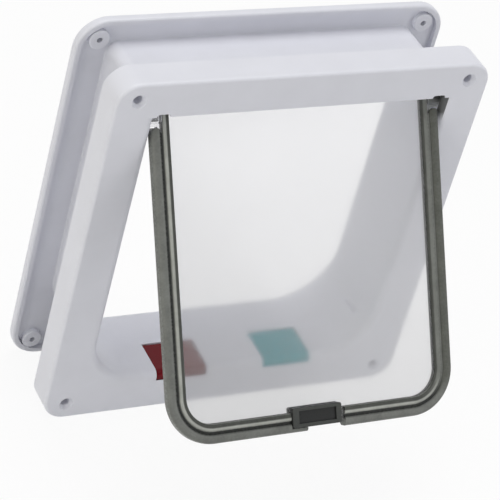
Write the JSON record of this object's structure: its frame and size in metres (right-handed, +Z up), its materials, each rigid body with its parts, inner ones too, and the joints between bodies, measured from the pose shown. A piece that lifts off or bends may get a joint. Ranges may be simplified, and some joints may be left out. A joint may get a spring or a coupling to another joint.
{
  "type": "cat flap",
  "caption": "White moulded cat flap for a door: box-shaped interior frame, exterior frame with sliding tunnel, clear sealed flap on pins, and a red and a green latch in the sill.",
  "frame": {"origin": "centre of the interior frame's four screw holes, at the foot of their dishes, 1.9 mm behind its front face", "axes": "+X to the right seen from the room, +Y from the room through the door, +Z up"},
  "size_m": [0.2002, 0.1405, 0.2054],
  "materials": {
    "white_abs": "satin moulded white",
    "clear_acrylic": "clear polished",
    "grey_seal": "smooth extruded grey",
    "dark_holder": "moulded dark grey",
    "red_abs": "moulded red",
    "green_abs": "moulded green",
    "steel": "plain steel",
    "ferrite": "sintered magnet"
  },
  "bodies": {
    "interior_frame": {"interior_frame": "white_abs", "left_hinge_pin": "steel", "right_hinge_pin": "steel", "left_hinge_cap": "white_abs", "right_hinge_cap": "white_abs", "left_cap_screw": "steel", "right_cap_screw": "steel", "red_latch_pin": "steel", "green_latch_pin": "steel", "sill_magnet": "ferrite", "sill_magnet_cover": "white_abs"},
    "exterior_frame": {"exterior_frame": "white_abs"},
    "flap": {"flap_panel": "clear_acrylic", "left_seal": "grey_seal", "right_seal": "grey_seal", "magnet_holder_front": "dark_holder", "magnet_holder_back": "dark_holder", "flap_magnet": "ferrite"},
    "red_latch": {"red_latch": "red_abs"},
    "green_latch": {"green_latch": "green_abs"}
  },
  "joints": [
    {"name": "flap_swing", "type": "hinge", "parent": "interior_frame", "child": "flap", "pos_m": [0, 0.0056, 0.077], "axis": [1, 0, 0], "range_deg": [-43.5, 116.5]},
    {"name": "red_latch_lift", "type": "hinge", "parent": "interior_frame", "child": "red_latch", "pos_m": [-0.027, 0.0021, -0.083], "axis": [1, 0, 0], "range_deg": [0, 20]},
    {"name": "green_latch_lift", "type": "hinge", "parent": "interior_frame", "child": "green_latch", "pos_m": [0.033, 0.0021, -0.083], "axis": [1, 0, 0], "range_deg": [0, 95]},
    {"name": "tunnel_slide", "type": "slide", "parent": "interior_frame", "child": "exterior_frame", "axis": [0, 1, 0], "range_m": [0, 0.008]}
  ]
}
